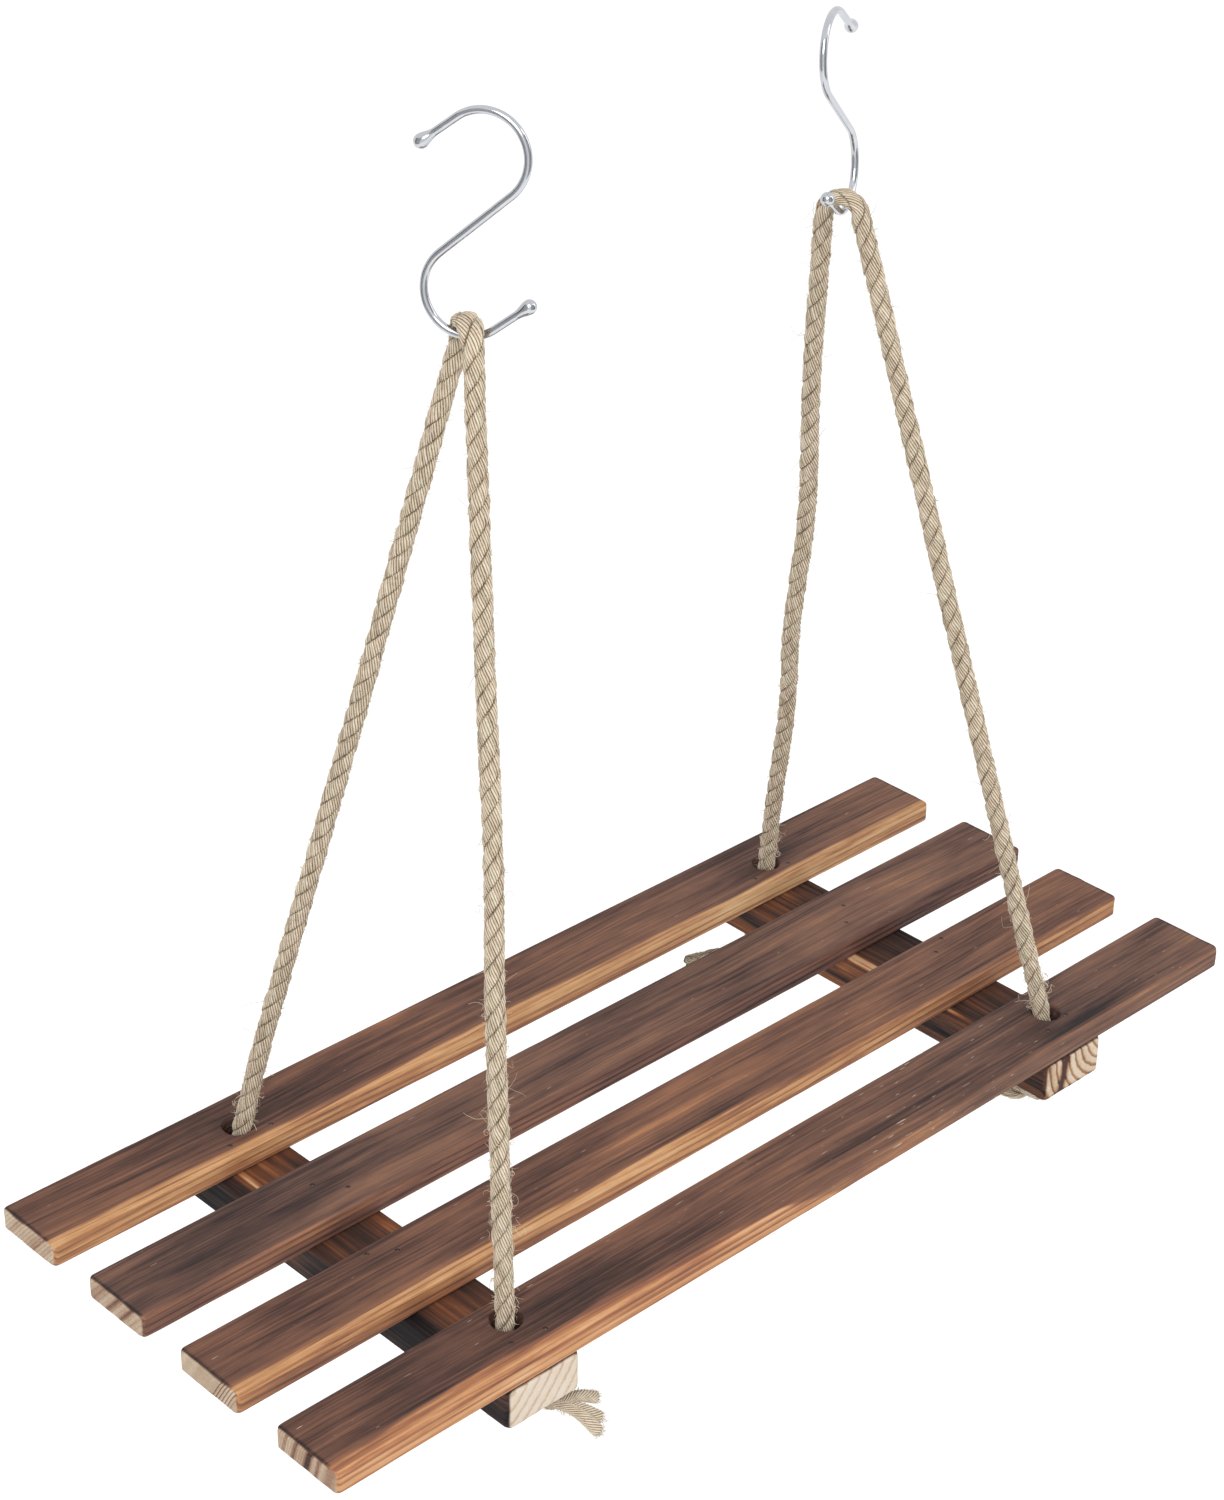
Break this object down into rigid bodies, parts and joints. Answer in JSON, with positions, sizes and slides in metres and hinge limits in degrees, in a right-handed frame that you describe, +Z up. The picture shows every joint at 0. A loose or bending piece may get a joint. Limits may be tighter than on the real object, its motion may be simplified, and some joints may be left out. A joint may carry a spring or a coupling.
{
  "type": "hanging rope shelf",
  "caption": "Small slatted wooden shelf hung by two knotted rope slings from steel S-hooks; swings forwards and back and sways sideways.",
  "frame": {"origin": "above the middle of the deck, at the height where the undersides of the hooks' upper bends rest on the rail", "axes": "+X along the slats, +Y from the front slat to the rear slat, +Z up"},
  "size_m": [0.5, 0.2123, 0.4811],
  "materials": {
    "charred_slats": "torched and brushed, oiled, matte to satin",
    "crossbar_wood": "torched, matte",
    "brad_steel": "dull, heads sunk into the wood",
    "hook_steel": "bright plated wire",
    "jute_rope": "three-strand laid, fuzzy, matte"
  },
  "bodies": {
    "hooks": {"hook_left": "hook_steel", "hook_right": "hook_steel"},
    "rope_saddles": {"rope_saddle_left": "jute_rope", "rope_saddle_right": "jute_rope"},
    "ropes_left": {"rope_leg_left_rear": "jute_rope", "rope_leg_left_front": "jute_rope"},
    "ropes_right": {"rope_leg_right_rear": "jute_rope", "rope_leg_right_front": "jute_rope"},
    "deck": {"slat_1": "charred_slats", "slat_2": "charred_slats", "slat_3": "charred_slats", "slat_4": "charred_slats", "crossbar_left": "crossbar_wood", "crossbar_right": "crossbar_wood", "brad_left_1a": "brad_steel", "brad_left_1b": "brad_steel", "brad_left_2a": "brad_steel", "brad_left_2b": "brad_steel", "brad_left_3a": "brad_steel", "brad_left_3b": "brad_steel", "brad_left_4a": "brad_steel", "brad_left_4b": "brad_steel", "brad_right_1a": "brad_steel", "brad_right_1b": "brad_steel", "brad_right_2a": "brad_steel", "brad_right_2b": "brad_steel", "brad_right_3a": "brad_steel", "brad_right_3b": "brad_steel", "brad_right_4a": "brad_steel", "brad_right_4b": "brad_steel", "rope_foot_left_rear": "jute_rope", "rope_foot_left_front": "jute_rope", "rope_foot_right_rear": "jute_rope", "rope_foot_right_front": "jute_rope"}
  },
  "joints": [
    {"name": "shelf_swing", "type": "hinge", "parent": "hooks", "child": "rope_saddles", "pos_m": [0, 0, -0.07553], "axis": [1, 0, 0], "range_deg": [-20, 20], "deforming": ["rope_saddle_left", "rope_saddle_right"]},
    {"name": "shelf_sway", "type": "hinge", "parent": "rope_saddles", "child": "ropes_left", "pos_m": [-0.096, 0, -0.07553], "axis": [0, 1, 0], "range_deg": [-8, 8], "deforming": ["rope_saddle_left"]},
    {"name": "right_ropes_sway", "type": "hinge", "parent": "rope_saddles", "child": "ropes_right", "pos_m": [0.096, 0, -0.07553], "axis": [0, 1, 0], "range_deg": [-8, 8], "deforming": ["rope_saddle_right"]},
    {"name": "deck_tilt", "type": "hinge", "parent": "ropes_left", "child": "deck", "pos_m": [-0.1508, 0, -0.42653], "axis": [0, 1, 0], "range_deg": [-5.2, 5.2]}
  ],
  "couplings": [
    {"joint": "right_ropes_sway", "follows": "shelf_sway", "ratio": 1},
    {"joint": "deck_tilt", "follows": "shelf_sway", "ratio": -0.6366}
  ]
}
